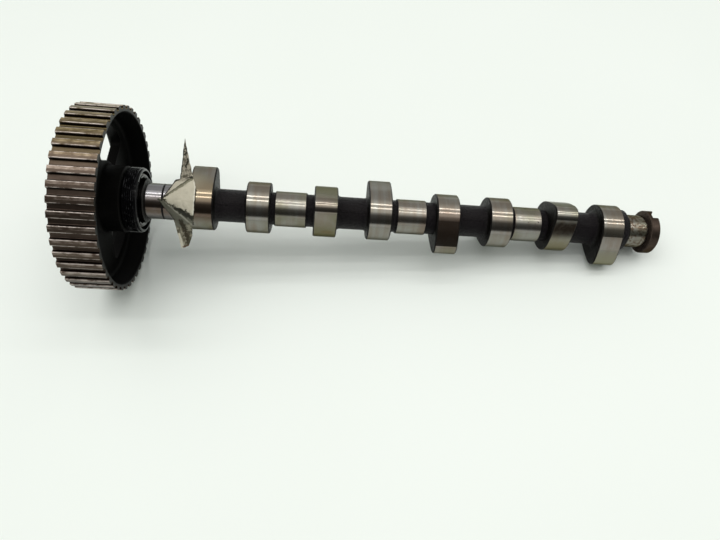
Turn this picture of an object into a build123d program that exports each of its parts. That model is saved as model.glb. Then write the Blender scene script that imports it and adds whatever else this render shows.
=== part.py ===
"""Overhead camshaft of a four-cylinder engine, lying on a bench as it was taken off.

One cast-iron shaft carries five ground journals and eight lobes. On its tapered nose sit the
toothed belt pulley, a thick washer and the centre bolt. The oil seal is still on its land behind
the pulley, and a torn strip of tape is folded around the first journal.

Millimetres. +Z is up and the bench is Z = 0. The shaft runs along +X from the pulley to the rear
collar, and slopes down to the rear, because the pulley is larger than the collar. Stations are
distances along the shaft line, counted from the middle of the first journal. Angles around the
shaft are in degrees, counted from straight up towards the near side, -Y.
"""
from build123d import *
import os
from math import atan2, cos, degrees, hypot, pi, radians, sin, sqrt

# ---------------------------------------------------------------- driving dimensions
# journals; the spans are where each is ground, from the middle of its bearing
journal_pitch = 88.0
journal_diameter = 26.0
rear_journal_diameter = 25.2
journal_spans = ((-15.2, 11.2), (-12.5, 10.9), (-10.6, 11.8), (-9.9, 11.7), (-6.5, 7.0))
journal_edge = 0.8
oil_line_station = -3.7
oil_line_width = 1.4
oil_line_depth = 0.35

# cast core between the ground places
core_diameter = 24.0
cheek_radius = 2.8
parting_ridge_width = 1.6
parting_ridge_height = 0.35
parting_from_last_lobe = -90.0

# lobes
base_radius = 18.8
exhaust_lift = 9.0
inlet_lift = 8.5
nose_radius = 8.3
flank_radius = 80.0
lobe_width = 17.2
lobe_edge = 0.8
valve_spread = 40.0
valve_shift = {1: -0.1, 2: 0.6, 3: 2.9, 4: 1.0}
lobe_separation = 105.0
firing_order = (1, 3, 4, 2)

# rear end
shoulder_diameter = 32.0
shoulder_cone = 3.0
relief_width = 1.2
relief_diameter = 23.6
collar_diameter = 33.0
collar_width = 7.0
collar_edge = 0.6
slot_width = 10.5
slot_depth = 4.7
slot_from_last_lobe = -143.0
centre_hole_diameter = 6.0
centre_hole_mouth = 9.6
centre_hole_depth = 7.0

# front end
seal_land_diameter = 32.0
seal_land_start = -29.4
seal_land_lead_in = 1.5
taper_large_diameter = 30.0
taper_small_diameter = 25.5
taper_length = 23.6
bolt_hole_diameter = 12.0
bolt_hole_depth = 42.0

# toothed pulley
belt_pitch = 9.525
tooth_count = 44
tip_below_pitch_line = 0.4
pulley_station = -31.2
pulley_width = 29.0
groove_depth = 2.6
groove_top_width = 5.0
groove_bottom_width = 3.4
groove_root_radius = 0.6
land_corner_radius = 0.5
rim_mouth_diameter = 123.6
rim_floor_diameter = 119.0
rim_edge = 0.5
rim_front_edge = 1.2
web_station = -46.0
web_thickness = 7.0
web_corner = 3.0
hub_diameter = 48.0
hub_gap = 0.3
hub_edge = 1.0
boss_diameter = 46.0
boss_length = 2.6
window_count = 3
window_inner_radius = 27.0
window_outer_radius = 53.0
window_angle = 60.0
window_corner = 5.0
window_from_last_lobe = 64.0
taper_clearance = 0.02

# washer and bolt
washer_diameter = 34.0
washer_thickness = 5.0
washer_bore = 12.6
washer_edge = 0.8
bolt_diameter = 11.9
bolt_length = 40.0
bolt_flats = 19.0
bolt_head_height = 8.0
bolt_flange_diameter = 25.0
bolt_flange_thickness = 1.8

# oil seal
seal_outer_diameter = 47.0
seal_width = 10.0
seal_station = -18.5
seal_wall = 2.2
seal_back = 2.4
seal_edge = 0.5
seal_rib_count = 6
seal_rib_height = 0.6
seal_rib_width = 0.8
seal_rib_pitch = 1.4
seal_rib_first = 0.8
seal_lip_clearance = 0.03
seal_lip_length = 8.0
seal_lip_head = 2.6
seal_lip_neck = 2.1
seal_lip_relief = 0.9
seal_mouth = 0.4
case_thickness = 0.8
case_cover = 0.5
case_flange_depth = 3.0
spring_wire = 1.3
spring_clearance = 0.02

# tape folded round the first journal: its creases and torn ends, as station, radius and the
# angle from the last lobe's nose
tape_thickness = 0.5
tape_clearance = 0.1
tape_band = (8.0, 15.6)
tape_band_angles = (-21.0, 89.0, 199.0)
tape_corners = {
    "fold": (-2.9, 17.1, -88.7),
    "hem": (-6.5, 15.1, -88.8),
    "upper": (17.6, 23.5, -135.3),
    "middle": (20.4, 20.8, -86.3),
    "lower": (18.3, 20.7, -34.7),
    "flap_root": (4.3, 15.6, -31.8),
    "flap_left": (9.7, 33.3, -2.4),
    "flap_right": (14.8, 31.6, -3.0),
    "flap_side": (17.3, 24.6, -11.3),
    "spike_tip": (9.0, 46.3, -166.3),
    "spike_left": (7.3, 16.9, -143.8),
    "spike_right": (15.9, 23.6, -147.3),
    "band_start": (12.0, 13.3, -19.3),
    "band_end": (12.0, 13.3, 196.7),
}

# how it lies: the last exhaust lobe's nose, turned from straight up
last_nose_angle = 116.3

# cuts run this far past the faces that they open, and edges are picked within this distance
cut_margin = 1.0
pick_within = 0.01

# ---------------------------------------------------------------- sizes that follow
journal_radius = journal_diameter / 2
rear_journal_radius = rear_journal_diameter / 2
core_radius = core_diameter / 2
collar_radius = collar_diameter / 2
seal_land_radius = seal_land_diameter / 2
pulley_radius = tooth_count * belt_pitch / (2 * pi) - tip_below_pitch_line

journals = [[i * journal_pitch + end for end in span] for i, span in enumerate(journal_spans)]
seal_land_end, first_journal_end = journals[0]
rear_journal_start, relief_start = journals[-1]
collar_start = relief_start + relief_width
shaft_end = collar_start + collar_width
taper_end = seal_land_start - taper_length
hub_station = seal_land_start - hub_gap
pulley_front = pulley_station - pulley_width
web_front = web_station - web_thickness
boss_front = web_front - boss_length
washer_front = boss_front - washer_thickness
flange_front = washer_front - bolt_flange_thickness
bolt_front = flange_front - bolt_head_height

# The shaft leans on the rear edge of the collar and on two teeth of the pulley, with a groove
# straight below the shaft line.
tooth_reach = sqrt(pulley_radius**2 - (groove_top_width / 2 + land_corner_radius) ** 2)
slope = atan2(tooth_reach - collar_radius, shaft_end - pulley_station)
line_height = tooth_reach * cos(slope) + pulley_station * sin(slope)
left_end = bolt_front * cos(slope) - bolt_flats / sqrt(3) * sin(slope)
right_end = shaft_end * cos(slope) + collar_radius * sin(slope)
line_start = (-(left_end + right_end) / 2, 0, line_height)
along_shaft = (cos(slope), 0, -sin(slope))

shaft_line = Plane(origin=line_start, x_dir=(sin(slope), 0, cos(slope)), z_dir=along_shaft)
long_section = Plane(origin=line_start, x_dir=along_shaft, z_dir=(0, -1, 0))
shaft_axis = Axis(line_start, along_shaft)


def station(distance):
    """Plane square to the shaft at this distance from the middle of the first journal."""
    return shaft_line.offset(distance)


def off_axis(edge):
    """Distance of the middle of an edge from the shaft line."""
    middle = shaft_line.to_local_coords(edge @ 0.5)
    return hypot(middle.X, middle.Y)


def at_station(edge, distances):
    """Whether an edge lies square to the shaft at one of these stations."""
    place = shaft_line.to_local_coords(edge @ 0.5).Z
    return min(abs(place - distance) for distance in distances) < pick_within


def polar(radius, angle):
    """Point of a station plane at this radius and angle."""
    return Vector(radius * cos(radians(angle)), radius * sin(radians(angle)))


# ---------------------------------------------------------------- where the lobes stand
# The last exhaust lobe shows how the shaft lies, and the others follow the firing order.
cylinders = sorted(firing_order)
cylinder_middle = {n: (n - 0.5) * journal_pitch + valve_shift[n] for n in cylinders}
last_lobe_end = cylinder_middle[cylinders[-1]] + (valve_spread + lobe_width) / 2

lobes = []
for cylinder in cylinders:
    quarter_turns = firing_order.index(cylinder) - firing_order.index(cylinders[-1])
    exhaust_angle = last_nose_angle - 90 * quarter_turns
    inlet_angle = exhaust_angle - lobe_separation
    outward = -1 if cylinder <= len(cylinders) / 2 else 1
    exhaust_middle = cylinder_middle[cylinder] + outward * valve_spread / 2
    inlet_middle = cylinder_middle[cylinder] - outward * valve_spread / 2
    lobes.append((exhaust_middle, exhaust_lift, exhaust_angle))
    lobes.append((inlet_middle, inlet_lift, inlet_angle))
lobes.sort()


def cam_outline(lift, nose_angle):
    """Base circle, two long flanks and the nose, as arcs that meet without a corner."""
    reach = base_radius + lift - nose_radius
    to_base = flank_radius - base_radius
    to_nose = flank_radius - nose_radius
    ahead = (to_base**2 - to_nose**2 + reach**2) / (2 * reach)
    aside = sqrt(to_base**2 - ahead**2)
    base_turn = degrees(atan2(aside, -ahead))
    nose_turn = degrees(atan2(aside, reach - ahead))
    flanks = []
    for side in (-1, 1):
        centre = polar(ahead, nose_angle) - polar(aside, nose_angle + 90 * side)
        turns = (base_turn, (base_turn + nose_turn) / 2, nose_turn)
        flanks.append([centre + polar(flank_radius, nose_angle + side * turn) for turn in turns])
    rising, falling = flanks
    tip = polar(reach + nose_radius, nose_angle)
    ThreePointArc(*rising)
    ThreePointArc(rising[-1], tip, falling[-1])
    ThreePointArc(*falling)
    ThreePointArc(falling[0], polar(base_radius, nose_angle + 180), rising[0])


def journal_outline(start, end):
    """A ground journal that stands proud of the cast core, with broken edges."""
    edge_radius = journal_radius - journal_edge / 2
    return [
        (start, core_radius),
        (start, edge_radius),
        (start + journal_edge, journal_radius),
        (end - journal_edge, journal_radius),
        (end, edge_radius),
        (end, core_radius),
    ]


# ---------------------------------------------------------------- camshaft, one casting
with BuildPart() as camshaft:
    nose = [
        (taper_end, 0),
        (taper_end, taper_small_diameter / 2),
        (seal_land_start, taper_large_diameter / 2),
        (seal_land_start + seal_land_lead_in, seal_land_radius),
        (seal_land_end - seal_land_lead_in, seal_land_radius),
        (seal_land_end, journal_radius),
        (oil_line_station - oil_line_width / 2, journal_radius),
        (oil_line_station, journal_radius - oil_line_depth),
        (oil_line_station + oil_line_width / 2, journal_radius),
    ]
    first_journal = journal_outline(*journals[0])
    inner_journals = [point for ends in journals[1:-1] for point in journal_outline(*ends)]
    tail = [
        (last_lobe_end - lobe_edge, core_radius),
        (last_lobe_end - lobe_edge, shoulder_diameter / 2),
        (rear_journal_start - shoulder_cone, shoulder_diameter / 2),
        (rear_journal_start, rear_journal_radius),
        (relief_start, rear_journal_radius),
        (relief_start, relief_diameter / 2),
        (collar_start, relief_diameter / 2),
        (collar_start, collar_radius - collar_edge),
        (collar_start + collar_edge, collar_radius),
        (shaft_end - collar_edge, collar_radius),
        (shaft_end, collar_radius - collar_edge),
        (shaft_end, 0),
    ]
    with BuildSketch(long_section):
        with BuildLine():
            Polyline(*nose, *first_journal[3:], *inner_journals, *tail, close=True)
        make_face()
    revolve(axis=shaft_axis)
    for middle, lift, nose_angle in lobes:
        with BuildSketch(station(middle - lobe_width / 2)):
            with BuildLine():
                cam_outline(lift, nose_angle)
            make_face()
        extrude(amount=lobe_width)
        ends = (middle - lobe_width / 2, middle + lobe_width / 2)
        end_edges = [e for e in camshaft.edges() if at_station(e, ends)]
        chamfer([e for e in end_edges if off_axis(e) > base_radius - pick_within], lobe_edge)
    # the core runs into the lobes with a cast radius, between the two lobes of each cylinder
    circles = camshaft.edges().filter_by(GeomType.CIRCLE)
    inner_faces = [m + s * (valve_spread - lobe_width) / 2 for m in cylinder_middle.values() for s in (-1, 1)]
    core_ends = [e for e in circles if abs(e.radius - core_radius) < pick_within]
    fillet([e for e in core_ends if at_station(e, inner_faces)], cheek_radius)
    # mould parting line, left standing on the core between those lobes
    for cylinder in cylinders:
        with BuildSketch(station(cylinder_middle[cylinder])):
            Rectangle(
                core_diameter + 2 * parting_ridge_height,
                parting_ridge_width,
                rotation=last_nose_angle + parting_from_last_lobe,
            )
        extrude(amount=(valve_spread - lobe_width) / 2, both=True)
    # drive slot across the rear end, and the centre holes
    with BuildSketch(station(shaft_end)):
        Rectangle(collar_diameter + cut_margin, slot_width, rotation=last_nose_angle + slot_from_last_lobe)
    extrude(amount=-slot_depth, mode=Mode.SUBTRACT)
    with Locations(station(shaft_end - slot_depth)):
        CounterSinkHole(centre_hole_diameter / 2, centre_hole_mouth / 2, depth=centre_hole_depth)
    with Locations(-station(taper_end)):
        Hole(bolt_hole_diameter / 2, depth=bolt_hole_depth)
camshaft.part.label = "camshaft"

# ---------------------------------------------------------------- toothed belt pulley
rim_mouth_radius = rim_mouth_diameter / 2
rim_floor_radius = rim_floor_diameter / 2
hub_radius = hub_diameter / 2
boss_radius = boss_diameter / 2
bore_large_radius = taper_large_diameter / 2 + taper_clearance
bore_small_radius = taper_small_diameter / 2 + taper_clearance


def belt_groove():
    """Groove between two teeth, drawn at the rim with X outwards."""
    with BuildSketch(mode=Mode.PRIVATE) as groove:
        with BuildLine():
            Polyline(
                (groove_depth, -groove_top_width / 2),
                (0, -groove_top_width / 2),
                (-groove_depth, -groove_bottom_width / 2),
                (-groove_depth, groove_bottom_width / 2),
                (0, groove_top_width / 2),
                (groove_depth, groove_top_width / 2),
                close=True,
            )
        make_face()
        fillet(groove.vertices().group_by(Axis.X)[0], groove_root_radius)
    return groove.sketch


def recess(mouth, floor, inner_radius, edge):
    """Section of a turned recess in one side of the pulley, rounded at its floor.

    The rim tapers towards the mouth, where its edge is broken. What the section has beyond the
    mouth is air.
    """
    outside = mouth + (cut_margin if mouth > floor else -cut_margin)
    edge_start = mouth + (-edge if mouth > floor else edge)
    with BuildSketch(long_section, mode=Mode.PRIVATE) as section:
        with BuildLine():
            Polyline(
                (outside, inner_radius),
                (floor, inner_radius),
                (floor, rim_floor_radius),
                (edge_start, rim_mouth_radius),
                (mouth, rim_mouth_radius + edge),
                (outside, rim_mouth_radius + edge),
                close=True,
            )
        make_face()
        floor_corners = [v for v in section.vertices() if abs(v.X - floor) < pick_within]
        fillet(floor_corners, web_corner)
    return section.sketch


with BuildPart() as timing_pulley:
    # toothed blank
    with BuildSketch(station(pulley_front)) as rim_section:
        Circle(pulley_radius)
        with PolarLocations(pulley_radius, tooth_count):
            add(belt_groove(), mode=Mode.SUBTRACT)
        land_corners = [v for v in rim_section.vertices() if hypot(v.X, v.Y) > pulley_radius - 0.05]
        fillet(land_corners, land_corner_radius)
    extrude(amount=pulley_width)
    # turned recesses on both sides of the web, and the hub that reaches to the seal land
    rear_recess = recess(pulley_station, web_station, hub_radius, rim_edge)
    front_recess = recess(pulley_front, web_front, boss_radius, rim_front_edge)
    revolve(rear_recess, axis=shaft_axis, mode=Mode.SUBTRACT)
    revolve(front_recess, axis=shaft_axis, mode=Mode.SUBTRACT)
    with BuildSketch(station(pulley_front)):
        Circle(boss_radius)
    extrude(amount=boss_front - pulley_front, mode=Mode.SUBTRACT)
    with BuildSketch(station(pulley_station)):
        Circle(hub_radius)
    extrude(amount=hub_station - pulley_station)
    turned = timing_pulley.edges().filter_by(GeomType.CIRCLE)
    chamfer([e for e in turned if at_station(e, [hub_station])], hub_edge)
    # tapered bore
    with BuildSketch(long_section):
        with BuildLine():
            Polyline(
                (hub_station, 0),
                (hub_station, bore_large_radius),
                (taper_end, bore_small_radius),
                (boss_front, bore_small_radius),
                (boss_front, 0),
                close=True,
            )
        make_face()
    revolve(axis=shaft_axis, mode=Mode.SUBTRACT)
    # windows through the web
    for i in range(window_count):
        turn = last_nose_angle + window_from_last_lobe + i * 360 / window_count
        sides = (turn - window_angle / 2, turn, turn + window_angle / 2)
        outer = [polar(window_outer_radius, angle) for angle in sides]
        inner = [polar(window_inner_radius, angle) for angle in reversed(sides)]
        with BuildSketch(station(web_front)) as window:
            with BuildLine():
                ThreePointArc(*outer)
                Line(outer[-1], inner[0])
                ThreePointArc(*inner)
                Line(inner[-1], outer[0])
            make_face()
            fillet(window.vertices(), window_corner)
        extrude(amount=web_thickness, mode=Mode.SUBTRACT)
timing_pulley.part.label = "timing_pulley"

# ---------------------------------------------------------------- washer and centre bolt
with BuildPart() as bolt_washer:
    with BuildSketch(station(washer_front)):
        Circle(washer_diameter / 2)
        Circle(washer_bore / 2, mode=Mode.SUBTRACT)
    extrude(amount=washer_thickness)
    chamfer(bolt_washer.edges().filter_by(GeomType.CIRCLE).group_by(SortBy.RADIUS)[-1], washer_edge)
bolt_washer.part.label = "bolt_washer"

with BuildPart() as pulley_bolt:
    with BuildSketch(station(washer_front)):
        Circle(bolt_diameter / 2)
    extrude(amount=bolt_length)
    with BuildSketch(station(flange_front)):
        Circle(bolt_flange_diameter / 2)
    extrude(amount=bolt_flange_thickness)
    with BuildSketch(station(flange_front)):
        RegularPolygon(bolt_flats / 2, 6, major_radius=False)
    extrude(amount=-bolt_head_height)
pulley_bolt.part.label = "pulley_bolt"

# ---------------------------------------------------------------- oil seal
seal_radius = seal_outer_diameter / 2
seal_front = seal_station - seal_width
seal_skin_radius = seal_radius - seal_rib_height
lip_radius = seal_land_radius + seal_lip_clearance
lip_station = seal_front + seal_lip_length
spring_circle = lip_radius + seal_lip_head
case_outer_radius = seal_skin_radius - case_cover
case_inner_radius = case_outer_radius - case_thickness

with BuildPart() as seal_case:
    with BuildSketch(long_section):
        with BuildLine():
            Polyline(
                (seal_front + case_cover, case_outer_radius - case_flange_depth),
                (seal_front + case_cover, case_outer_radius),
                (seal_station - case_cover - seal_edge, case_outer_radius),
                (seal_station - case_cover - seal_edge, case_inner_radius),
                (seal_front + case_cover + case_thickness, case_inner_radius),
                (seal_front + case_cover + case_thickness, case_outer_radius - case_flange_depth),
                close=True,
            )
        make_face()
    revolve(axis=shaft_axis)
seal_case.part.label = "seal_case"

with BuildPart() as oil_seal:
    ribs = []
    for i in range(seal_rib_count):
        middle = seal_front + seal_rib_first + i * seal_rib_pitch
        ribs.append((middle - seal_rib_width / 2, seal_skin_radius))
        ribs.append((middle - seal_rib_width / 4, seal_radius))
        ribs.append((middle + seal_rib_width / 4, seal_radius))
        ribs.append((middle + seal_rib_width / 2, seal_skin_radius))
    with BuildSketch(long_section):
        with BuildLine():
            Polyline(
                (seal_front, seal_skin_radius),
                *ribs,
                (seal_station - seal_edge, seal_skin_radius),
                (seal_station, seal_skin_radius - seal_edge),
                (seal_station, seal_radius - seal_wall),
                (seal_front + seal_back, seal_radius - seal_wall),
                (seal_front + seal_back, lip_radius + seal_lip_neck),
                (lip_station - seal_lip_head / 2, spring_circle - spring_wire / 2),
                (lip_station - seal_lip_head / 2, spring_circle),
                (lip_station + seal_lip_head / 2, spring_circle),
                (lip_station + seal_lip_head / 2, lip_radius + seal_lip_head / 2),
                (lip_station, lip_radius),
                (lip_station - seal_lip_head, lip_radius + seal_lip_relief),
                (seal_front + seal_back / 2, lip_radius + seal_lip_relief),
                (seal_front, lip_radius + seal_mouth),
                close=True,
            )
        make_face()
        with Locations((lip_station, spring_circle)):
            Circle(spring_wire / 2 + spring_clearance, mode=Mode.SUBTRACT)
    revolve(axis=shaft_axis)
    add(seal_case.part, mode=Mode.SUBTRACT)
oil_seal.part.label = "oil_seal"

with BuildPart() as seal_spring:
    with BuildSketch(long_section):
        with Locations((lip_station, spring_circle)):
            Circle(spring_wire / 2)
    revolve(axis=shaft_axis)
seal_spring.part.label = "seal_spring"

# ---------------------------------------------------------------- tape
tape_panels = [
    ("fold", "upper", "middle"),
    ("fold", "middle", "lower"),
    ("fold", "lower", "flap_root"),
    ("fold", "flap_root", "hem"),
    ("flap_root", "lower", "flap_side"),
    ("flap_root", "flap_side", "flap_right"),
    ("flap_root", "flap_right", "flap_left"),
    ("spike_left", "spike_tip", "spike_right"),
    ("spike_left", "spike_right", "upper"),
    ("flap_root", "lower", "band_start"),
    ("spike_left", "spike_right", "band_end"),
]


def tape_point(name):
    """Place of one corner of the tape."""
    distance, radius, angle = tape_corners[name]
    return station(distance).from_local_coords(polar(radius, last_nose_angle + angle))


with BuildPart() as tape_wrap:
    for names in tape_panels:
        corner, along, across = (tape_point(name) for name in names)
        panel = Plane(corner, x_dir=along - corner, z_dir=(along - corner).cross(across - corner))
        outline = [panel.to_local_coords(point) for point in (corner, along, across)]
        with BuildSketch(panel):
            with BuildLine():
                Polyline(*[(point.X, point.Y) for point in outline], close=True)
            make_face()
        extrude(amount=tape_thickness / 2, both=True)
    # the turn that goes round the back of the journal
    band_radius = journal_radius + tape_clearance + tape_thickness / 2
    turns = [polar(band_radius, last_nose_angle + angle) for angle in tape_band_angles]
    with BuildSketch(station(tape_band[0])):
        with BuildLine():
            ThreePointArc(*turns)
        trace(line_width=tape_thickness)
    extrude(amount=tape_band[1] - tape_band[0])
    # nothing bites into the journal or the first lobe
    with BuildSketch(station(oil_line_station)):
        Circle(journal_radius + tape_clearance)
    extrude(amount=first_journal_end - oil_line_station, mode=Mode.SUBTRACT)
    first_middle, first_lift, first_angle = lobes[0]
    with BuildSketch(station(first_middle - lobe_width / 2 - tape_clearance)):
        with BuildLine():
            cam_outline(first_lift, first_angle)
        make_face()
        offset(amount=tape_clearance)
    extrude(amount=lobe_width, mode=Mode.SUBTRACT)
tape_wrap.part.label = "tape_wrap"

os.makedirs("parts", exist_ok=True)
pieces = (camshaft, timing_pulley, bolt_washer, pulley_bolt, oil_seal, seal_case, seal_spring, tape_wrap)
for piece in pieces:
    export_step(piece.part, f"parts/{piece.part.label}.step")
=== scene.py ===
# %% [markdown]
# # A used camshaft on a bench
#
# A camshaft opens and closes the valves of an engine. This one is a single iron casting with
# ground journals and lobes. A toothed belt pulley, a bolt, an oil seal and a torn scrap of tape
# are still on it. The solids come from the CAD frame at full size, in metres, so this lesson is
# about what the frame doesn't hold: the finishes, the crumpled tape, the light and the camera.

# %% The frame
import bpy
import bmesh
from math import cos, pi, radians, sin
from mathutils import Euler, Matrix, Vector, noise


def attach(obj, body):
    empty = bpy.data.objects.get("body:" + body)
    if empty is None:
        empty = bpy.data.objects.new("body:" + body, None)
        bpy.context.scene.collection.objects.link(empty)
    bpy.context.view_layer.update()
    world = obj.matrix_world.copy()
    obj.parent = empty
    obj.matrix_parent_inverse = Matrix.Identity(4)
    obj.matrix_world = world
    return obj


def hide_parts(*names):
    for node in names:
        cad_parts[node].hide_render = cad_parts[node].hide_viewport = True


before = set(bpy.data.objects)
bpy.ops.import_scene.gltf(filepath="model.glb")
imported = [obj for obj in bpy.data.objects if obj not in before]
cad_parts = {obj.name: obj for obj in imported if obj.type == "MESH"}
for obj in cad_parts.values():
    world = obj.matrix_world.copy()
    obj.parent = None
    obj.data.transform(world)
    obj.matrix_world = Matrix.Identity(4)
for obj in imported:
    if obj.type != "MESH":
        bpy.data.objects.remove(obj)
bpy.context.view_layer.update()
print("CAD pieces:", sorted(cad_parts))

# %% [markdown]
# ## The shaft line
#
# The shaft leans on the pulley and on its rear collar, so it slopes down a little. Almost every
# surface on it was turned or ground about one line. If a finish knows how far along that line it
# is, how far from it, and at which turn, then it can put wear and lines where a lathe or grinder
# put them. The same three numbers place the tape.

# %% The shaft line
line_start = Vector((-0.14760, 0.0, 0.06186))
slope = radians(7.1157)
along_shaft = Vector((cos(slope), 0.0, -sin(slope)))
upwards = Vector((sin(slope), 0.0, cos(slope)))
near_side = Vector((0.0, -1.0, 0.0))
last_nose_angle = 116.3


def shaft_point(station, radius, turn):
    """Place in metres from a station and radius in millimetres and a turn in degrees."""
    angle = radians(last_nose_angle + turn)
    outwards = upwards * cos(angle) + near_side * sin(angle)
    return line_start + (along_shaft * station + outwards * radius) / 1000


print("middle of the third journal:", [round(c, 4) for c in shaft_point(176, 0, 0)])

# %% [markdown]
# ## The camera
#
# The camera stands in front of the middle of the shaft and looks steeply down at it. It is
# close, so the pulley looks large and its inside shows. A wide lens that is close gives that
# depth, where a long lens from far away would flatten it.

# %% The camera
camera_tilt = 28.667
camera_roll = 1.161
camera_turn = 0.297
camera_data = bpy.data.cameras.new("bench_camera")
camera_data.sensor_width = 36.0
camera_data.lens = 29.07
camera = bpy.data.objects.new("bench_camera", camera_data)
camera.location = (-0.001197, -0.247042, 0.408544)
camera.rotation_euler = Euler([radians(a) for a in (camera_tilt, camera_roll, camera_turn)])
bpy.context.scene.collection.objects.link(camera)
bpy.context.scene.camera = camera
print("the camera looks down by", round(90 - camera_tilt, 1), "degrees")

# %% [markdown]
# ## Wiring a finish
#
# A finish is a small network of nodes that ends in one Principled shader. Adding nodes by hand
# takes four lines each. This helper adds one and hands back its output, so a finish below reads
# like a sentence. The shaft's three numbers are worked out once for each finish.


# %% Wiring a finish
class Finish:
    """A material under construction. Lengths are in millimetres."""

    def __init__(self, name):
        self.material = bpy.data.materials.new(name)
        self.material.use_nodes = True
        self.nodes = self.material.node_tree.nodes
        self.links = self.material.node_tree.links
        self.shader = self.nodes["Principled BSDF"]
        place = self.nodes.new("ShaderNodeTexCoord")
        self.place = place.outputs["Object"]
        self.normal = place.outputs["Normal"]

    def feed(self, socket, value):
        """Puts a number, a colour or another node's output into a socket."""
        if isinstance(value, bpy.types.NodeSocket):
            self.links.new(value, socket)
        elif hasattr(value, "__len__") and len(value) == 3 and socket.type == "RGBA":
            socket.default_value = (*value, 1.0)
        else:
            socket.default_value = value

    def number(self, operation, *values):
        node = self.nodes.new("ShaderNodeMath")
        node.operation = operation
        for socket, value in zip(node.inputs, values):
            self.feed(socket, value)
        return node.outputs[0]

    def vector(self, operation, *values):
        node = self.nodes.new("ShaderNodeVectorMath")
        node.operation = operation
        for socket, value in zip(node.inputs, values):
            self.feed(socket, value)
        gives_number = operation in ("DOT_PRODUCT", "DISTANCE")
        return node.outputs["Value" if gives_number else "Vector"]

    def dot(self, vector, direction):
        return self.vector("DOT_PRODUCT", vector, direction)

    def seen_from(self, start):
        """The step from a fixed place to the point that is being coloured."""
        return self.vector("SUBTRACT", self.place, start)

    def read_shaft(self):
        """Station, radius and turn of a point, and how far its surface faces along the shaft."""
        offset = self.seen_from(line_start)
        self.station = self.dot(offset, along_shaft * 1000)
        up = self.dot(offset, upwards * 1000)
        near = self.dot(offset, near_side * 1000)
        squares = self.number("ADD", self.number("POWER", up, 2.0), self.number("POWER", near, 2.0))
        self.radius = self.number("SQRT", squares)
        self.turn = self.number("ARCTAN2", near, up)
        self.sideways = self.number("ABSOLUTE", self.dot(self.normal, along_shaft))

    def rise(self, value, low, high):
        """Climbs from 0 at low to 1 at high; falls if low is the larger."""
        node = self.nodes.new("ShaderNodeMapRange")
        node.interpolation_type = "SMOOTHSTEP"
        self.feed(node.inputs["Value"], value)
        node.inputs["From Min"].default_value = low
        node.inputs["From Max"].default_value = high
        return node.outputs["Result"]

    def band(self, value, low, high, soft=0.1):
        """1 between low and high, and 0 outside."""
        begins = self.rise(value, low - soft, low + soft)
        ends = self.rise(value, high + soft, high - soft)
        return self.both(begins, ends)

    def both(self, *masks):
        result = masks[0]
        for mask in masks[1:]:
            result = self.number("MULTIPLY", result, mask)
        return result

    def either(self, *masks):
        result = masks[0]
        for mask in masks[1:]:
            result = self.number("MAXIMUM", result, mask)
        return result

    def without(self, mask):
        return self.number("SUBTRACT", 1.0, mask)

    def point(self, x, y, z):
        node = self.nodes.new("ShaderNodeCombineXYZ")
        for socket, value in zip(node.inputs, (x, y, z)):
            self.feed(socket, value)
        return node.outputs[0]

    def noise(self, where, scale, detail=3.0, roughness=0.55):
        node = self.nodes.new("ShaderNodeTexNoise")
        self.feed(node.inputs["Vector"], where)
        node.inputs["Scale"].default_value = scale
        node.inputs["Detail"].default_value = detail
        node.inputs["Roughness"].default_value = roughness
        return node.outputs["Fac"]

    def near_line(self, start, end, reach, ragged=0.0, soft=0.25):
        """1 along the straight line between two places, and 0 further off than the reach."""
        along = end - start
        share = self.number("DIVIDE", self.dot(self.seen_from(start), along), along.length_squared)
        share = self.number("MINIMUM", self.number("MAXIMUM", share, 0.0), 1.0)
        foot = self.vector("MULTIPLY_ADD", along, self.point(share, share, share), start)
        gap = self.vector("DISTANCE", self.place, foot)
        distance = self.number("ADD", self.number("MULTIPLY", gap, 1000.0), ragged)
        return self.rise(distance, reach * (1 + soft), reach * (1 - soft))

    def mix(self, amount, first, second):
        node = self.nodes.new("ShaderNodeMix")
        node.data_type = "RGBA"
        self.feed(node.inputs["Factor"], amount)
        self.feed(node.inputs[6], first)
        self.feed(node.inputs[7], second)
        return node.outputs[2]

    def spread(self, amount, first, second):
        """A number between two others."""
        node = self.nodes.new("ShaderNodeMapRange")
        self.feed(node.inputs["Value"], amount)
        self.feed(node.inputs["To Min"], first)
        self.feed(node.inputs["To Max"], second)
        return node.outputs["Result"]

    def bump(self, height, depth):
        """Height from 0 to 1, over a depth in millimetres."""
        node = self.nodes.new("ShaderNodeBump")
        node.inputs["Distance"].default_value = depth / 1000
        self.feed(node.inputs["Height"], height)
        self.links.new(node.outputs["Normal"], self.shader.inputs["Normal"])

    def set(self, **sockets):
        names = {
            "colour": "Base Color",
            "metal": "Metallic",
            "rough": "Roughness",
            "shine": "Specular IOR Level",
        }
        for word, value in sockets.items():
            self.feed(self.shader.inputs[names[word]], value)
        return self.material


def wear(node, material):
    """Gives a CAD piece its finish, in the material slots it already has."""
    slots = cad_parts[node].material_slots
    for slot in slots:
        slot.material = material
    print(node, "wears", material.name, "in", len(slots), "slot")


# %% [markdown]
# ## The iron of the shaft
#
# The casting comes out of the mould dark and slightly rough, and stays so between the lobes and
# on their sides. The journals, the lobe surfaces and the seal land are then ground, which leaves
# bright metal with very fine lines around it. Oil varnish has browned it since. One finish can
# show both: a mask says where the grinder went, by radius and by which way the surface faces.

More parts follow.
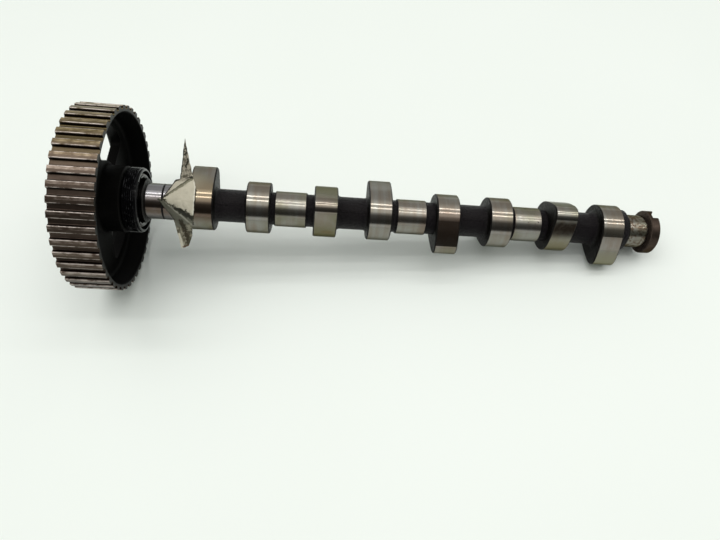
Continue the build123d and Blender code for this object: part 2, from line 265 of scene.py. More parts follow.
# %% The iron of the shaft
cast_to_ground = (12.42, 12.52)
journal_to_lobe = (16.6, 17.0)
front_journal_span = (-15.4, 12.0)
shoulder_span = (336.9, 345.4)
rear_journal_span = (345.5, 359.3)
collar_span = (360.0, 367.7)
iron = Finish("camshaft_iron")
iron.read_shaft()
outer = iron.rise(iron.radius, *cast_to_ground)
round_about = iron.rise(iron.sideways, 0.42, 0.30)
shoulder = iron.band(iron.station, *shoulder_span)
ground = iron.both(outer, round_about, iron.without(shoulder))
collar = iron.band(iron.station, *collar_span)
rear_journal = iron.band(iron.station, *rear_journal_span)
front_journal = iron.band(iron.station, *front_journal_span)
seal_land = iron.rise(iron.station, -15.2, -15.6)
lobe = iron.rise(iron.radius, *journal_to_lobe)
print("ground iron starts at radius", cast_to_ground[1], "mm")

# %% [markdown]
# The grinder leaves lines around the shaft, and a cam follower or a bearing polishes broader
# bands in them. Both depend on the station and hardly on the turn, so the noise is stretched
# around the shaft. Brown varnish sits in patches along the same bands. Some patches are listed
# one by one. Each is a line along the shaft: its two stations, its radius and turn, its reach and
# its tone. The others are varnish and olive patina. The dark ones on the front journal and the
# first lobe, and the two near-black ones on the seventh lobe, are painted shade: they stand in
# for the dark room that the metal mirrors just below its highlight.

# %% Lines, varnish and painted shade
stretched = iron.point(iron.station, iron.number("MULTIPLY", iron.turn, 0.35), 0.0)
fine_lines = iron.noise(stretched, 2.4, 5.0, 0.7)
less_stretched = iron.point(iron.station, iron.number("MULTIPLY", iron.turn, 0.5), 3.0)
broad_lines = iron.noise(less_stretched, 0.30, 2.0)
blotches = iron.noise(iron.place, 45.0, 4.0)
smudges = iron.noise(iron.place, 260.0, 4.0, 0.6)
from_lines = iron.number("MULTIPLY", broad_lines, 0.35)
mixed = iron.number("ADD", from_lines, iron.number("MULTIPLY", blotches, 0.65))
varnish = iron.both(iron.rise(mixed, 0.40, 0.62), iron.spread(smudges, 0.35, 0.95))
olive = iron.rise(iron.noise(iron.place, 30.0, 3.0), 0.46, 0.64)
bright_iron = iron.mix(fine_lines, (0.205, 0.199, 0.180), (0.300, 0.292, 0.266))
browned_and_shaded = iron.mix(varnish, bright_iron, (0.196, 0.156, 0.118))
browned_and_shaded = iron.mix(iron.both(olive, iron.spread(smudges, 0.3, 0.9)), browned_and_shaded, (0.160, 0.155, 0.100))
bluish = iron.mix(fine_lines, (0.215, 0.213, 0.236), (0.285, 0.283, 0.303))
browned_and_shaded = iron.mix(iron.both(front_journal, iron.spread(broad_lines, 0.5, 1.0)), browned_and_shaded, bluish)
mottle = iron.rise(iron.noise(iron.place, 420.0, 3.0), 0.45, 0.58)
mottled = iron.both(rear_journal, iron.spread(mottle, 0.20, 0.95))
browned_and_shaded = iron.mix(mottled, browned_and_shaded, (0.100, 0.074, 0.052))
# Painted shade: the dark patches on the front journal, the first lobe and the seventh lobe.
patches = [
    (13.0, 19.0, 19.0, -125.0, 10.0, (0.340, 0.310, 0.235)),
    (27.0, 34.0, 18.8, -108.0, 9.0, (0.235, 0.190, 0.130)),
    (16.0, 32.0, 18.8, -66.0, 8.0, (0.115, 0.083, 0.062)),
    (-12.0, 3.0, 13.0, -60.0, 7.0, (0.110, 0.083, 0.066)),
    (106.0, 119.0, 22.0, -20.0, 12.0, (0.160, 0.148, 0.094)),
    (112.0, 116.0, 22.0, -30.0, 3.0, (0.150, 0.105, 0.052)),
    (106.0, 119.0, 18.8, -140.0, 12.0, (0.230, 0.218, 0.168)),
    (196.0, 210.0, 18.8, -60.0, 12.0, (0.160, 0.118, 0.092)),
    (280.0, 298.0, 22.5, -81.0, 5.5, (0.020, 0.015, 0.012)),
    (280.0, 298.0, 24.0, -64.0, 5.5, (0.016, 0.012, 0.009)),
    (282.0, 296.0, 20.0, -25.0, 9.0, (0.185, 0.168, 0.115)),
    (323.0, 335.0, 23.0, 0.0, 10.0, (0.215, 0.206, 0.145)),
]
for first, last, radius, turn, reach, tone in patches:
    left, right = (shaft_point(station, radius, turn) for station in (first, last))
    patch = iron.near_line(left, right, reach, soft=0.65)
    patch = iron.both(patch, iron.spread(smudges, 0.70, 1.25))
    browned_and_shaded = iron.mix(iron.number("MINIMUM", patch, 1.0), browned_and_shaded, tone)
print("patches of varnish:", len(patches))

# %% [markdown]
# Varnish bakes on hardest beside the two faces of a lobe, where the follower doesn't rub. The
# distance to the nearest lobe's middle tells where that is.

# %% Brown edges of the lobes
lobe_middles = (23.9, 63.9, 112.6, 152.6, 202.9, 242.9, 289.0, 329.0)
far_from_lobes = 100.0
from_middle = far_from_lobes
for middle in lobe_middles:
    gap = iron.number("ABSOLUTE", iron.number("SUBTRACT", iron.station, middle))
    from_middle = iron.number("MINIMUM", from_middle, gap)
uneven = iron.number("MULTIPLY_ADD", smudges, 1.6, -0.8)
beside_face = iron.rise(iron.number("ADD", from_middle, uneven), 7.3, 8.3)
edge_brown = iron.both(beside_face, lobe, 0.75)
polished = iron.mix(edge_brown, browned_and_shaded, (0.085, 0.062, 0.045))
grain = iron.noise(iron.place, 520.0, 5.0, 0.65)
cast_skin = iron.mix(grain, (0.0030, 0.0023, 0.0030), (0.0130, 0.0105, 0.0128))
# Painted shade: the sides of the lobes get a darker copy of the cast skin.
shaded_cheek = iron.mix(grain, (0.0008, 0.0006, 0.0006), (0.0036, 0.0027, 0.0024))
cast_skin = iron.mix(iron.rise(iron.sideways, 0.5, 0.8), cast_skin, shaded_cheek)
surface = iron.mix(ground, cast_skin, polished)
rusty = iron.mix(iron.noise(iron.place, 300.0), (0.030, 0.022, 0.018), (0.085, 0.062, 0.050))
surface = iron.mix(collar, surface, rusty)
print("lobes:", len(lobe_middles))

# %% [markdown]
# A few casting pores show as black specks on two journals. A speck is the inside of a small ball
# around a point on the surface, so it stays put from every side. Each pore has a station, a
# radius, a turn and a size.
#
# The finish is then put together. Bare ground iron is metal and mirrors the room, and the cast
# skin doesn't. The land beside the seal is painted near-black: painted shade from the seal around it.

# %% Casting pores
pore_places = [
    (264.5, 13, -88.9, 0.42),
    (270.2, 13, -86.1, 0.36),
    (272.4, 13, -91.7, 0.50),
    (263.7, 13, -145.3, 0.75),
    (357.7, 12.6, -92.3, 0.62),
]
pores = []
for station, radius, turn, size in pore_places:
    gap = iron.vector("DISTANCE", iron.place, shaft_point(station, radius, turn))
    pores.append(iron.rise(gap, size / 1000, size / 1500))
specks = iron.either(*pores)
surface = iron.mix(specks, surface, (0.008, 0.007, 0.006))
# Painted shade: the land beside the seal is darkened.
shaded_seal_land = iron.both(seal_land, iron.rise(iron.radius, 14.6, 14.8))
surface = iron.mix(shaded_seal_land, surface, (0.020, 0.019, 0.018))
bare = iron.both(ground, iron.without(specks))
metal = iron.either(bare, iron.number("MULTIPLY", collar, 0.55))
polish = iron.spread(fine_lines, 0.09, 0.16)
bearing = iron.both(iron.without(lobe), iron.without(front_journal))
polish = iron.number("ADD", polish, iron.number("MULTIPLY", bearing, 0.08))
roughness = iron.spread(ground, iron.spread(grain, 0.30, 0.58), polish)
roughness = iron.spread(collar, roughness, 0.36)
height = iron.spread(ground, iron.number("MULTIPLY", grain, 4.0), iron.spread(fine_lines, 0.46, 0.5))
iron.bump(height, 0.25)
iron.shader.inputs["Specular Tint"].default_value = (0.40, 0.40, 0.36, 1.0)
wear("camshaft", iron.set(colour=surface, metal=metal, rough=roughness, shine=0.22))
print("pores:", len(pore_places))

# %% [markdown]
# ## The belt pulley
#
# The pulley was machined, darkened and then run for years. The belt rubs the lands between its
# grooves, so those are paler and smoother. Their edges carry a paler line still, partly wear and
# partly a painted highlight. The flanks of the grooves are near-black: black dust and painted
# shade. Nothing rubs the inside, which is dark oxide painted almost black: painted shade in the
# recess. The tooth pitch gives a number that goes from 0 to 1 across each tooth, and the pale
# edge lines go where that number is right.

# %% The belt pulley
pulley = Finish("pulley_steel")
pulley.read_shaft()
tooth_count = 44
land_radii = (65.4, 65.9)
root_radii = (64.4, 64.0)
inner_radii = (62.3, 62.1)
tooth = pulley.number("ADD", pulley.number("MULTIPLY", pulley.turn, tooth_count / (2 * pi)), 0.5)
lean = pulley.number("SUBTRACT", pulley.number("FRACT", tooth), 0.5)
across = pulley.number("ABSOLUTE", lean)
outside = pulley.rise(pulley.sideways, 0.6, 0.4)
land = pulley.both(pulley.rise(pulley.radius, *land_radii), outside)
root = pulley.both(pulley.rise(pulley.radius, *root_radii), outside)
land_edge = pulley.both(land, pulley.band(across, 0.25, 0.31, 0.02))
inside = pulley.rise(pulley.radius, *inner_radii)
end_face = pulley.both(pulley.rise(pulley.sideways, 0.5, 0.7), pulley.without(inside))
# Paler golden tone on the upper side: golden rust, and painted light from above.
golden_lit_way = (shaft_point(0, 1, -160) - shaft_point(0, 0, 0)).normalized()
golden_and_lit = pulley.rise(pulley.dot(pulley.seen_from(line_start), golden_lit_way * 1000), 26.0, 54.0)
print("teeth:", tooth_count)

# %% [markdown]
# Each land carries its own streaks, because the belt drags dust along it. A number that changes
# from tooth to tooth but not across one makes some lands browner than their neighbours. The upper
# side of the pulley is paler and golden: golden rust, and painted light from above. One corner of
# each groove is painted near-black: painted shade under the land beside it. One half of each land
# is darker, which leaves a narrow pale band: painted shade.

# %% Streaks, dust, painted light and shade
along_land = pulley.number("MULTIPLY", pulley.station, 0.16)
around = pulley.number("MULTIPLY", pulley.turn, 26.0)
streaks = pulley.noise(pulley.point(along_land, around, 1.0), 1.2, 4.0, 0.65)
which_tooth = pulley.number("FLOOR", tooth)
own_shade = pulley.noise(pulley.point(which_tooth, 4.0, along_land), 0.83, 1.0)
rubs = pulley.noise(pulley.place, 130.0, 4.0, 0.6)
paler = pulley.rise(streaks, 0.34, 0.68)
pinkish = pulley.mix(paler, (0.100, 0.074, 0.058), (0.235, 0.190, 0.160))
yellowish = pulley.mix(paler, (0.150, 0.115, 0.056), (0.330, 0.262, 0.145))
belt_track = pulley.mix(golden_and_lit, pinkish, yellowish)
browner = pulley.both(pulley.rise(own_shade, 0.46, 0.64), pulley.without(golden_and_lit))
belt_track = pulley.mix(browner, belt_track, (0.075, 0.052, 0.040))
floor_tone = pulley.mix(rubs, (0.034, 0.024, 0.018), (0.092, 0.068, 0.054))
floor_tone = pulley.mix(golden_and_lit, floor_tone, (0.125, 0.098, 0.050))
# Painted shade: one corner of each groove is darkened.
shaded_corner = pulley.band(lean, 0.30, 0.43, 0.02)
floor_tone = pulley.mix(shaded_corner, floor_tone, (0.006, 0.004, 0.003))
# The flanks of the grooves: black dust and painted shade.
dusty_shaded_flank = pulley.mix(rubs, (0.006, 0.004, 0.003), (0.020, 0.014, 0.011))
tone = pulley.mix(root, dusty_shaded_flank, floor_tone)
# Painted shade: one half of each land is darkened, leaving a narrow pale band.
wavy_lean = pulley.number("ADD", lean, pulley.number("MULTIPLY", streaks, 0.16))
less_if_golden = pulley.number("MULTIPLY_ADD", golden_and_lit, -0.5, 1.0)
shaded_land_half = pulley.both(pulley.rise(wavy_lean, 0.15, 0.05), less_if_golden, 0.90)
belt_track = pulley.mix(shaded_land_half, belt_track, (0.064, 0.047, 0.036))
tone = pulley.mix(land, tone, belt_track)
# Partly wear and partly a painted highlight: a pale line along the land edges.
worn_edge_highlight = pulley.both(land_edge, pulley.rise(pulley.number("ADD", rubs, streaks), 0.78, 1.10))
tone = pulley.mix(worn_edge_highlight, tone, (0.520, 0.460, 0.420))
lug = pulley.mix(rubs, (0.010, 0.009, 0.008), (0.045, 0.042, 0.036))
end_tone = pulley.mix(pulley.rise(pulley.radius, 63.6, 64.4), (0.006, 0.006, 0.005), lug)
tone = pulley.mix(end_face, tone, end_tone)
# Painted shade: the inside is dark oxide painted almost black.
shaded_inside_tone = pulley.mix(rubs, (0.0010, 0.0010, 0.0009), (0.0036, 0.0033, 0.0030))
tone = pulley.mix(inside, tone, shaded_inside_tone)
pulley_metal = pulley.spread(inside, pulley.spread(outside, 0.25, 0.90), 0.0)
pulley_rough = pulley.spread(inside, pulley.spread(streaks, 0.28, 0.42), 0.50)
rubbed_relief = pulley.number("MULTIPLY", rubs, 0.5)
relief = pulley.number("ADD", rubbed_relief, pulley.number("MULTIPLY", streaks, 0.3))
pulley.bump(relief, 0.12)
wear("timing_pulley", pulley.set(colour=tone, metal=pulley_metal, rough=pulley_rough, shine=0.04))

# %% [markdown]
# ## Seal and fasteners
#
# The oil seal is black rubber, wet with oil, so it is glossy. Its edge on the engine side carries
# a thin grey line. Pale spots on the crests of its ribs are painted glints. The bolt, the washer
# and the seal's steel parts are plain steel under an oil film.

# %% The oil seal
rib_start = -28.4
rib_pitch = 1.4
rubber = Finish("oily_rubber")
rubber.read_shaft()
smears = rubber.noise(rubber.place, 260.0, 4.0)
rib_way = rubber.number("DIVIDE", rubber.number("SUBTRACT", rubber.station, rib_start), rib_pitch)
from_crest = rubber.number("ABSOLUTE", rubber.number("SUBTRACT", rubber.number("FRACT", rib_way), 0.5))
crest = rubber.both(rubber.rise(from_crest, 0.20, 0.12), rubber.rise(rubber.radius, 23.0, 23.4))
crest = rubber.both(crest, rubber.band(rubber.station, -28.3, -20.0))
rim_line = rubber.rise(rubber.station, -18.9, -18.6)
rim_line = rubber.both(rim_line, rubber.band(rubber.radius, 22.6, 23.4))
rim_line = rubber.both(rim_line, rubber.rise(rubber.noise(rubber.place, 90.0, 2.0), 0.42, 0.60))
black = rubber.mix(smears, (0.0016, 0.0016, 0.0019), (0.0045, 0.0045, 0.0050))
rim_line_and_glints = rubber.mix(rim_line, black, (0.040, 0.043, 0.039))
# Painted glints: pale spots on the rib crests.
painted_glints = rubber.both(crest, rubber.rise(smears, 0.50, 0.64))
rim_line_and_glints = rubber.mix(painted_glints, rim_line_and_glints, (0.036, 0.036, 0.038))
print("one rib every", rib_pitch, "mm")
rubber.bump(smears, 0.05)
wear("oil_seal", rubber.set(colour=rim_line_and_glints, rough=rubber.spread(smears, 0.08, 0.18), shine=0.25))

# %% Steel parts
oiled_steel = Finish("oiled_steel")
oiled_steel.read_shaft()
turned = oiled_steel.noise(oiled_steel.point(oiled_steel.radius, oiled_steel.station, 0.0), 3.0, 4.0)
film = oiled_steel.noise(oiled_steel.place, 180.0, 4.0)
steel_tone = oiled_steel.mix(film, (0.10, 0.095, 0.085), (0.30, 0.285, 0.26))
oiled_steel.bump(turned, 0.04)
steel = oiled_steel.set(colour=steel_tone, metal=0.9, rough=oiled_steel.spread(turned, 0.28, 0.45))
for name in ("bolt_washer", "pulley_bolt", "seal_case", "seal_spring"):
    wear(name, steel)

# %% [markdown]
# ## The torn tape
#
# Someone folded a strip of cloth tape round the first journal and tore it off, so one end stands
# up as a spike and one hangs down as a flap. Cloth this small and greasy is stiff: it makes
# flat facets between sharp creases, and each facet is slightly crumpled. So the main creases are
# given as corners, each facet between them is divided finely, and smooth noise then
# pushes the facets in and out. The push is least along the creases, to keep them sharp. Each
# corner is a station, a radius and a turn.

# %% The tape's creases
wound_left = 8.0
wound_right = 14.7
wound_radius = 13.6
wound_start = -20.0
wound_end = 198.0
corners = {
    "fold": (-2.9, 17.1, -88.7),
    "hem": (-6.5, 15.1, -88.8),
    "nub": (4.4, 18.2, -144.0),
    "upper": (17.6, 23.5, -135.3),
    "rim_upper": (20.4, 21.5, -115.0),
    "middle": (20.4, 20.9, -86.3),
    "rim_lower": (19.9, 21.0, -61.0),
    "lower": (18.3, 20.9, -34.7),
    "lower_foot": (14.7, 19.4, -34.0),
    "flap_root": (4.3, 15.6, -31.8),
    "flap_left": (9.7, 33.3, -2.4),
    "flap_right": (14.8, 31.6, -3.0),
    "flap_side": (17.3, 24.6, -11.3),
    "spike_tip": (9.0, 46.3, -166.3),
    "spike_left": (7.3, 16.9, -143.8),
    "spike_right": (15.9, 23.6, -147.3),
    "spike_foot": (14.7, 22.6, -146.8),
    "turn_start_left": (wound_left, wound_radius, wound_start),
    "turn_start_right": (wound_right, wound_radius, wound_start),
    "turn_end_left": (wound_left, wound_radius, wound_end),
    "turn_end_right": (wound_right, wound_radius, wound_end),
}
facets = [
    ("fold", "upper", "rim_upper"),
    ("fold", "rim_upper", "middle"),
    ("fold", "middle", "rim_lower"),
    ("fold", "rim_lower", "lower"),
    ("fold", "lower", "flap_root"),
    ("fold", "flap_root", "hem"),
    ("fold", "nub", "upper"),
    ("flap_root", "lower", "flap_side"),
    ("flap_root", "flap_side", "flap_right"),
    ("flap_root", "flap_right", "flap_left"),
    ("spike_left", "spike_tip", "spike_right"),
    ("spike_left", "spike_right", "upper"),
    ("nub", "spike_left", "upper"),
    ("flap_root", "lower_foot", "turn_start_right"),
    ("flap_root", "turn_start_right", "turn_start_left"),
    ("spike_left", "spike_foot", "turn_end_right"),
    ("spike_left", "turn_end_right", "turn_end_left"),
]
steps = 14


def add_facet(mesh, names):
    """Divides one flat facet into small triangles.

    Each point is marked with its distance from the creases: 0 on them, 1 in the facet's middle.
    """
    a, b, c = (shaft_point(*corners[name]) for name in names)
    rows = []
    for i in range(steps + 1):
        row = []
        for j in range(steps + 1 - i):
            k = steps - i - j
            point = mesh.verts.new((a * i + b * j + c * k) / steps)
            point[depth_layer] = 27 * i * j * k / steps**3
            row.append(point)
        rows.append(row)
    for i in range(steps):
        for j in range(steps - i):
            mesh.faces.new((rows[i][j], rows[i + 1][j], rows[i][j + 1]))
            if j < steps - i - 1:
                mesh.faces.new((rows[i + 1][j], rows[i + 1][j + 1], rows[i][j + 1]))


tape_mesh = bmesh.new()
depth_layer = tape_mesh.verts.layers.float.new("from_crease")
for names in facets:
    add_facet(tape_mesh, names)
print("tape facets:", len(facets), "points:", len(tape_mesh.verts))

# %% [markdown]
# Behind the journal the strip is still wound tight. That turn is not flat, so it is laid out as
# rows of small squares around the shaft line, just clear of the journal.

# %% The turn behind the journal
turn_rows = 44
turn_columns = 8
turn_points = []
for i in range(turn_rows + 1):
    turn = wound_start + (wound_end - wound_start) * i / turn_rows
    row = []
    for j in range(turn_columns + 1):
        station = wound_left + (wound_right - wound_left) * j / turn_columns
        row.append(tape_mesh.verts.new(shaft_point(station, wound_radius, turn)))
    turn_points.append(row)
for lower_row, upper_row in zip(turn_points, turn_points[1:]):
    for j in range(turn_columns):
        tape_mesh.faces.new((lower_row[j], lower_row[j + 1], upper_row[j + 1], upper_row[j]))
join_distance = 0.00002
bmesh.ops.remove_doubles(tape_mesh, verts=tape_mesh.verts, dist=join_distance)
print("rows around the journal:", turn_rows)

# %% [markdown]
# Crumpling moves each point away from the shaft line or towards it, and a little along it. Close
# to the iron it only pushes outwards, and less where the strip is wound tight.

# %% Crumpling
crumple = 0.9
crease_share = 0.25
tremble = 0.22
only_outwards_below = 22.0
wound_tight_below = 14.5


def off_shaft(place):
    """The step from the nearest point of the shaft line."""
    offset = place - line_start
    return offset - along_shaft * offset.dot(along_shaft)


for point in tape_mesh.verts:
    waves = noise.noise(point.co * 190.0) * crumple * (crease_share + point[depth_layer])
    small = noise.noise(point.co * 620.0) * tremble
    away = off_shaft(point.co)
    radius = away.length * 1000
    push = waves + small
    if radius < only_outwards_below:
        push = abs(push)
    if radius < wound_tight_below:
        push *= 0.5
    point.co += away.normalized() * push / 1000 + along_shaft * small * 0.4 / 1000
print("largest push:", crumple * (1 + crease_share) + tremble, "mm")

# %% [markdown]
# The outer edges are torn, so their points also move at random. Those beside the first lobe are
# then lifted clear of it.

# %% Torn edges
torn_reach = 0.00035
lobe_side = 16.3
lobe_clear = 19.4
edge_points = [v for v in tape_mesh.verts if v.is_boundary]
for point in edge_points:
    point.co += noise.noise_vector(point.co * 900.0) * torn_reach
    station = (point.co - line_start).dot(along_shaft) * 1000
    away = off_shaft(point.co)
    radius = away.length * 1000
    if radius < lobe_clear and station > lobe_side:
        point.co += away.normalized() * (lobe_clear - radius) / 1000
tape_data = bpy.data.meshes.new("tape")
tape_mesh.to_mesh(tape_data)
tape_mesh.free()
tape = bpy.data.objects.new("tape", tape_data)
bpy.context.scene.collection.objects.link(tape)
thickness = tape.modifiers.new("thickness", "SOLIDIFY")
thickness.thickness = 0.0003
thickness.offset = 1.0
area = sum(face.area for face in tape_data.polygons)
print("torn points:", len(edge_points), "area in square cm:", round(area * 1e4, 1))

# %% [markdown]
# ## Dirty cloth
#
# The tape was cream. Oil has soaked in along its creases and left olive and black stains with
# ragged borders, and clean cloth still shows between them. Random noise alone would put stains
# anywhere. So each stain is a line between two places on the tape, and noise is added to the
# distance from it, which makes the border ragged.

# %% Places on the tape
def on_tape(**shares):
    """A place between corners, from how much each of them counts."""
    return sum((shaft_point(*corners[name]) * share for name, share in shares.items()), Vector())


band_from = on_tape(fold=0.90, lower=0.10)
band_to = on_tape(middle=0.38, lower=0.62)
fold = on_tape(fold=1)
upper = on_tape(upper=1)
lower = on_tape(lower=1)
spike_zigzag = [
    on_tape(spike_tip=0.84, spike_left=0.07, spike_right=0.09),
    on_tape(spike_tip=0.69, spike_left=0.04, spike_right=0.27),
    on_tape(spike_tip=0.58, spike_left=0.20, spike_right=0.22),
    on_tape(spike_tip=0.39, spike_left=0.09, spike_right=0.52),
    on_tape(spike_tip=0.28, spike_left=0.34, spike_right=0.38),
]
print("dark band on the tape:", round((band_to - band_from).length * 1000, 1), "mm long")

# %% Dirty cloth
cloth = Finish("greasy_tape")
cloth.read_shaft()
soak = cloth.noise(cloth.place, 150.0, 5.0, 0.65)
border = cloth.noise(cloth.place, 620.0, 5.0, 0.7)
ragged = cloth.number("MULTIPLY_ADD", border, 9.0, -4.5)
grime = cloth.rise(cloth.noise(cloth.place, 330.0, 5.0, 0.7), 0.47, 0.58)
cream = cloth.mix(soak, (0.47, 0.435, 0.34), (0.60, 0.56, 0.45))
grey = cloth.mix(soak, (0.105, 0.104, 0.076), (0.185, 0.180, 0.140))
black = (0.022, 0.021, 0.013)
olive_dark = (0.075, 0.072, 0.046)
outwards_there = shaft_point(18, 24, -60) - shaft_point(18, 10, -60)
downwards = (band_to - band_from).cross(outwards_there).normalized()
below = cloth.rise(cloth.dot(cloth.seen_from(band_from), downwards * 1000), -0.2, 0.6)
print("cream, grey and black cloth")

# %% [markdown]
# The broad tones go on first: the grey lower part with a paler stripe, which is a painted
# highlight along the crease, then the flap and the spike. The stains follow as lines. Each has two
# ends, a reach in millimetres, how torn its border is, and a tone. The folded rims stay clean and
# are laid over all of them.

# %% Stains
stained = cloth.mix(below, cream, grey)
# Painted highlight: the paler stripe along the crease.
crease_highlight = cloth.near_line(fold, lower, 0.8)
stained = cloth.mix(cloth.both(below, crease_highlight), stained, (0.34, 0.33, 0.27))
flap_top = on_tape(flap_root=0.6, flap_side=0.4)
flap_end = on_tape(flap_left=0.5, flap_right=0.5)
flap = cloth.near_line(flap_top, flap_end, 9.0)
flap = cloth.both(flap, cloth.rise(cloth.radius, 19.0, 20.5))
stained = cloth.mix(flap, stained, cloth.mix(grime, (0.30, 0.28, 0.21), (0.10, 0.088, 0.058)))
rough_edge = cloth.number("MULTIPLY", ragged, 0.3)
clean_top = on_tape(flap_root=0.45, flap_left=0.50, flap_right=0.05)
clean_end = on_tape(flap_left=0.90, flap_right=0.10)
flap_clean = cloth.near_line(clean_top, clean_end, 1.5, rough_edge)
stained = cloth.mix(flap_clean, stained, (0.58, 0.55, 0.45))
spike_base = on_tape(spike_left=0.5, spike_right=0.5)
spike = cloth.near_line(spike_base, on_tape(spike_tip=1), 5.5)
stained = cloth.mix(spike, stained, cloth.mix(grime, (0.36, 0.33, 0.26), (0.105, 0.096, 0.068)))
band_start = on_tape(fold=0.95, middle=0.02, lower=0.03)
band_widens = on_tape(fold=0.62, middle=0.08, lower=0.30)
band_widest = on_tape(fold=0.38, middle=0.20, lower=0.42)
upper_start = on_tape(fold=0.75, upper=0.2, rim_upper=0.05)
upper_end = on_tape(upper=0.80, rim_upper=0.20)
nub = on_tape(nub=1)
nub_side = on_tape(nub=0.85, upper=0.15)
hem = on_tape(hem=1)
flap_root = on_tape(flap_root=1)
flap_fold = on_tape(flap_root=0.6, lower=0.4)
flap_low = on_tape(flap_right=0.75, flap_side=0.25)
flap_side = on_tape(flap_side=0.7, lower=0.3)
flap_right = on_tape(flap_right=1)
flap_middle = on_tape(flap_left=0.6, flap_right=0.4)
spike_left = on_tape(spike_left=1)
spike_high = on_tape(spike_tip=0.75, spike_left=0.25)
spike_to_upper = on_tape(spike_left=0.8, upper=0.2)
stain_lines = [
    (band_start, band_widens, 0.7, 1.0, olive_dark),
    (band_widens, band_to, 1.5, 1.0, black),
    (band_widest, band_to, 2.7, 1.0, black),
    (fold, upper, 0.9, 0.25, olive_dark),
    (upper_start, upper_end, 0.8, 0.4, (0.20, 0.19, 0.13)),
    (fold, nub, 1.4, 0.6, black),
    (nub, nub_side, 2.0, 0.5, black),
    (hem, flap_root, 0.6, 0.4, black),
    (flap_fold, flap_low, 1.9, 1.0, (0.040, 0.032, 0.018)),
    (flap_side, flap_right, 1.0, 1.0, olive_dark),
    (flap_middle, flap_right, 0.8, 0.8, (0.10, 0.055, 0.030)),
    (spike_left, spike_high, 0.8, 0.5, black),
    (spike_to_upper, upper, 1.1, 0.5, black),
]
stain_lines += [(a, b, 0.65, 0.8, black) for a, b in zip(spike_zigzag, spike_zigzag[1:])]
for start, end, reach, torn, tone in stain_lines:
    edge = cloth.number("MULTIPLY", ragged, torn)
    stained = cloth.mix(cloth.near_line(start, end, reach, edge), stained, tone)
rims = [
    cloth.near_line(on_tape(rim_upper=1), on_tape(middle=1), 0.9),
    cloth.near_line(on_tape(middle=1), on_tape(rim_lower=1), 0.9),
    cloth.near_line(on_tape(upper=0.4, rim_upper=0.6), on_tape(rim_upper=1), 0.8),
]
stained = cloth.mix(cloth.either(*rims), stained, (0.66, 0.63, 0.53))
weave = cloth.nodes.new("ShaderNodeTexWave")
weave.inputs["Scale"].default_value = 550.0
weave.inputs["Distortion"].default_value = 1.5
cloth.feed(weave.inputs["Vector"], cloth.place)
cloth.bump(cloth.number("ADD", weave.outputs["Fac"], cloth.number("MULTIPLY", border, 2.0)), 0.08)
cloth_rough = cloth.spread(below, 0.78, 0.55)
tape_data.materials.append(cloth.set(colour=stained, rough=cloth_rough, shine=0.3))
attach(tape, "root")
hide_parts("tape_wrap")
print("stain lines:", len(stain_lines))

# %% [markdown]
# ## Bench and light
#
# The bench is plain and pale. Polished metal shows its surroundings more than its own colour, so
# the light is planned by what a journal should mirror: two thin white lines from ceiling tubes,
# a lit ceiling around them, a dimmer wall behind, and a dark stretch in front. The tubes are
# long area lamps. The rest is a gradient around the world, read from the direction alone.
# Near the horizon the room is plain and pale all round, for the camera and the metal alike.

# %% The bench
bench_data = bpy.data.meshes.new("bench")
bench_mesh = bmesh.new()
half_bench = 2.5
bmesh.ops.create_grid(bench_mesh, x_segments=2, y_segments=2, size=half_bench)
bench_mesh.to_mesh(bench_data)
bench_mesh.free()
bench = bpy.data.objects.new("bench", bench_data)
bpy.context.scene.collection.objects.link(bench)
laminate = Finish("pale_laminate")
cloudy = laminate.noise(laminate.place, 4.0, 2.0)
bench_tone = laminate.mix(cloudy, (0.835, 0.880, 0.842), (0.872, 0.912, 0.882))
bench_data.materials.append(laminate.set(colour=bench_tone, rough=0.42, shine=0.35))
print("bench:", bench.dimensions[0], "m wide")

# %% Ceiling tubes
tube_height = 1.3
tube_width = 0.060
tube_length = 2.6
tube_power = 4.1
for word, lean in (("near", -3.3), ("far", 14.7)):
    lamp_data = bpy.data.lights.new("tube_" + word, "AREA")
    lamp_data.shape = "RECTANGLE"
    lamp_data.size = tube_length
    lamp_data.size_y = tube_width
    lamp_data.energy = tube_power
    lamp_data.color = (1.0, 0.985, 0.97)
    lamp = bpy.data.objects.new("tube_" + word, lamp_data)
    away = tube_height * sin(radians(lean)) / cos(radians(lean))
    lamp.location = (0.0, away, tube_height)
    lamp.rotation_euler = (-radians(lean), 0.0, 0.0)
    bpy.context.scene.collection.objects.link(lamp)
print("tubes at", tube_height, "m")

# %% [markdown]
# The gradient runs from the front horizon over the ceiling to the back horizon: each stop is a
# share of that half circle and a level. Towards the two ends of the shaft the room is evenly lit,
# which softens the shadow under it.

# %% The room around
room = bpy.data.worlds.new("room")
room.use_nodes = True
bpy.context.scene.world = room
tree = room.node_tree


def room_node(kind, operation=None, *values):
    """Adds a node to the room, with its numbers or links in order."""
    node = tree.nodes.new(kind)
    if operation:
        node.operation = operation
    for socket, value in zip(node.inputs, values):
        if isinstance(value, bpy.types.NodeSocket):
            tree.links.new(value, socket)
        else:
            socket.default_value = value
    return node


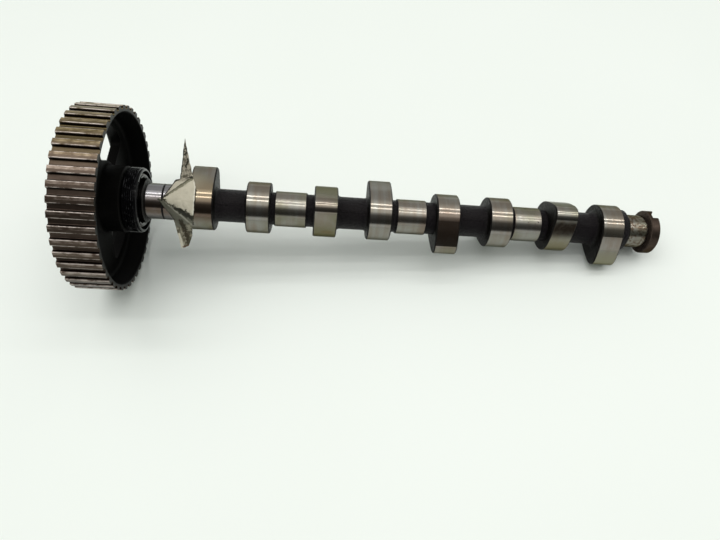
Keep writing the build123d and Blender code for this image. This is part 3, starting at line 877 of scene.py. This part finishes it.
def climb(value, low, high):
    """Climbs from 0 at low to 1 at high; falls if low is the larger."""
    node = room_node("ShaderNodeMapRange", None, value)
    node.inputs["From Min"].default_value = low
    node.inputs["From Max"].default_value = high
    return node.outputs["Result"]


def blend(amount, light, tone):
    """The light, going over to one tone as the amount goes to 1."""
    node = tree.nodes.new("ShaderNodeMix")
    node.data_type = "RGBA"
    tree.links.new(amount, node.inputs[0])
    tree.links.new(light, node.inputs[6])
    node.inputs[7].default_value = (*tone, 1.0)
    return node.outputs[2]


direction = room_node("ShaderNodeTexCoord")
parts = room_node("ShaderNodeSeparateXYZ", None, direction.outputs["Generated"])
front = room_node("ShaderNodeMath", "MULTIPLY", parts.outputs["Y"], -1.0)
height_angle = room_node("ShaderNodeMath", "ARCTAN2", parts.outputs["Z"], front.outputs[0])
share = room_node("ShaderNodeMath", "DIVIDE", height_angle.outputs[0], pi)
ramp = room_node("ShaderNodeValToRGB", None, share.outputs[0])
stops = [
    (0.0, 0.06),
    (0.18, 0.07),
    (0.30, 0.17),
    (0.35, 0.59),
    (0.385, 1.34),
    (0.455, 1.43),
    (0.48, 1.30),
    (0.54, 1.30),
    (0.60, 1.34),
    (0.66, 1.18),
    (0.74, 0.71),
    (1.0, 0.59),
]
elements = ramp.color_ramp.elements
while len(elements) < len(stops):
    elements.new(0.5)
for element, (where, level) in zip(elements, stops):
    element.position = where
    element.color = (level, level, level * 0.97, 1.0)
sideways = room_node("ShaderNodeMath", "ABSOLUTE", parts.outputs["X"])
lit = blend(climb(sideways.outputs[0], 0.50, 0.80), ramp.outputs["Color"], (0.37, 0.42, 0.38))
steepness = room_node("ShaderNodeMath", "ABSOLUTE", parts.outputs["Z"])
pale = blend(climb(steepness.outputs[0], 0.28, 0.16), lit, (0.90, 0.93, 0.91))
backdrop = tree.nodes["Background"]
tree.links.new(pale, backdrop.inputs["Color"])
backdrop.inputs["Strength"].default_value = 1.0
bpy.context.scene.view_settings.view_transform = "Standard"
print("room gradient stops:", len(stops))
